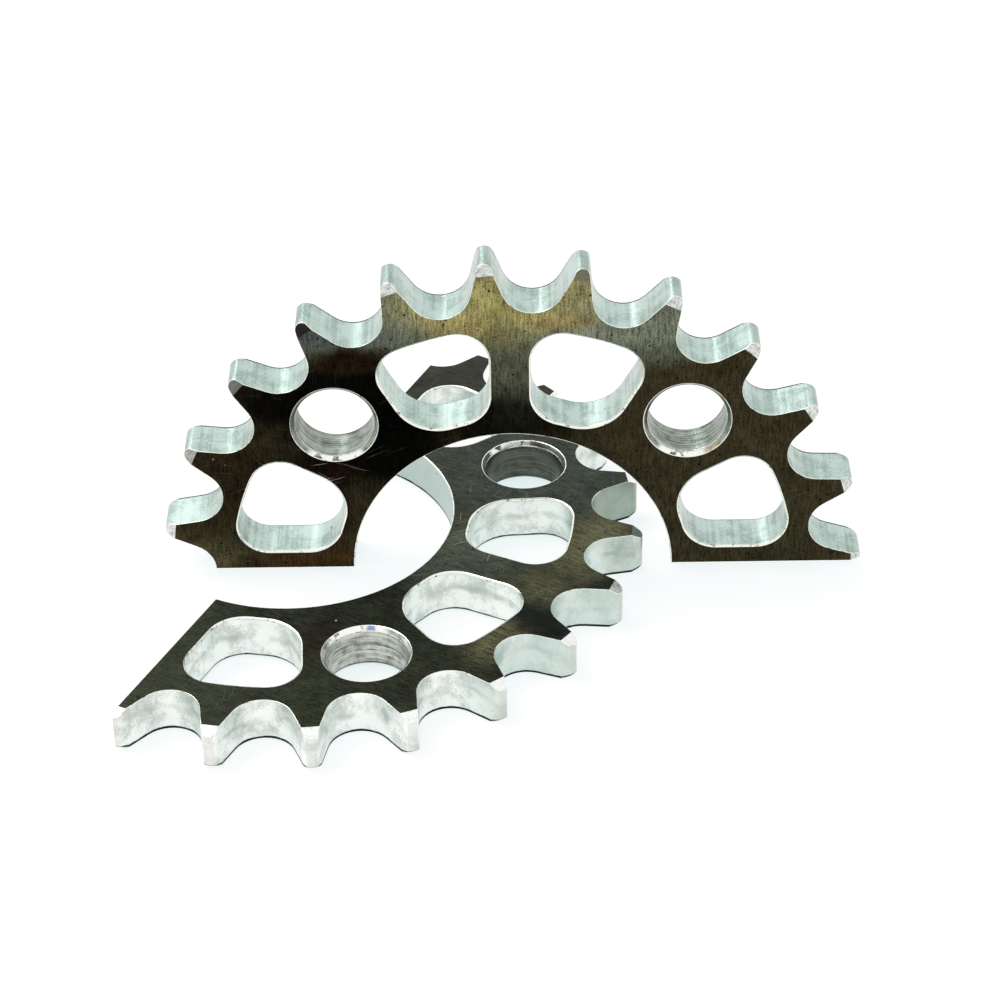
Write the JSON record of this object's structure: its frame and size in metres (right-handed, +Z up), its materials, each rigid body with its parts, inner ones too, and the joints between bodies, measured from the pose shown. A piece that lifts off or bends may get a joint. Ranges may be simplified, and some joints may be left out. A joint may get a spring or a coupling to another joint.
{
  "type": "chain sprocket",
  "caption": "Split roller chain sprocket plate with windows and bolt holes, its halves set apart, standing and lying.",
  "frame": {"origin": "standing half's bore axis, at mid thickness, on the surface that both halves rest on", "axes": "+X along the standing half's cut line towards its half tooth, +Y through its thickness away from the front face, +Z up"},
  "size_m": [0.1023, 0.0908, 0.0495],
  "materials": {
    "plate": "dark mill-finish faces with grain, bright milled and drilled edges"
  },
  "bodies": {
    "root": {"standing_half": "plate", "lying_half": "plate"}
  },
  "joints": []
}
